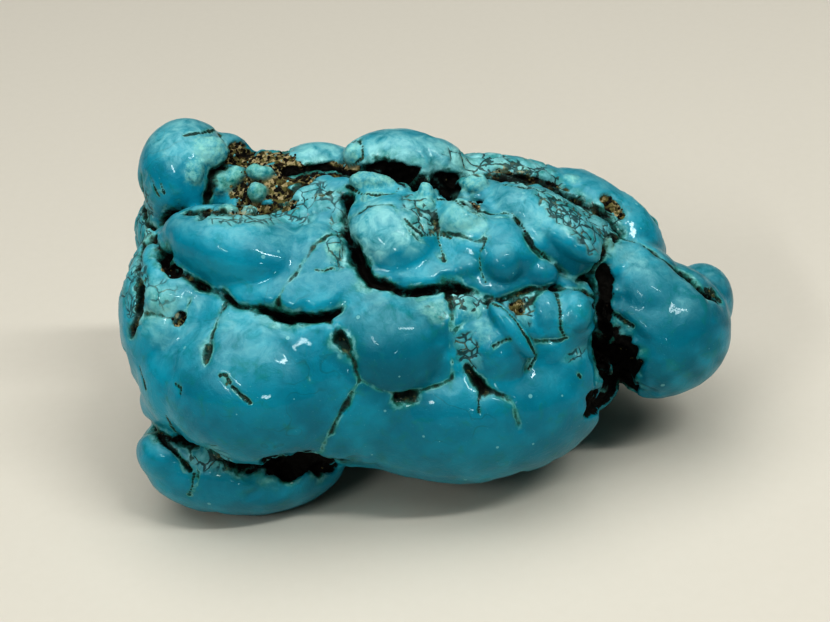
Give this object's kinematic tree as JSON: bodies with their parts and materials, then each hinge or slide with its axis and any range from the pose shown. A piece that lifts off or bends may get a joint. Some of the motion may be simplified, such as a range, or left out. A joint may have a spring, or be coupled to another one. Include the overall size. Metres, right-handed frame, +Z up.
{
  "type": "raw turquoise nugget",
  "caption": "Tumble-polished nugget of natural turquoise: a fist of rounded lumps with dark matrix in the seams between them, resting on its own worn flats.",
  "frame": {"origin": "on the resting surface, under the middle of the stone's bounding box", "axes": "+Z up, +X along the stone's length from the knobbed end to the heel end, -Y towards the side that is worked from close view"},
  "size_m": [0.0612, 0.0366, 0.035],
  "materials": {
    "turquoise": "polished stone with dark brown matrix in the seams"
  },
  "bodies": {
    "root": {"turquoise_nugget": "turquoise"}
  },
  "joints": []
}
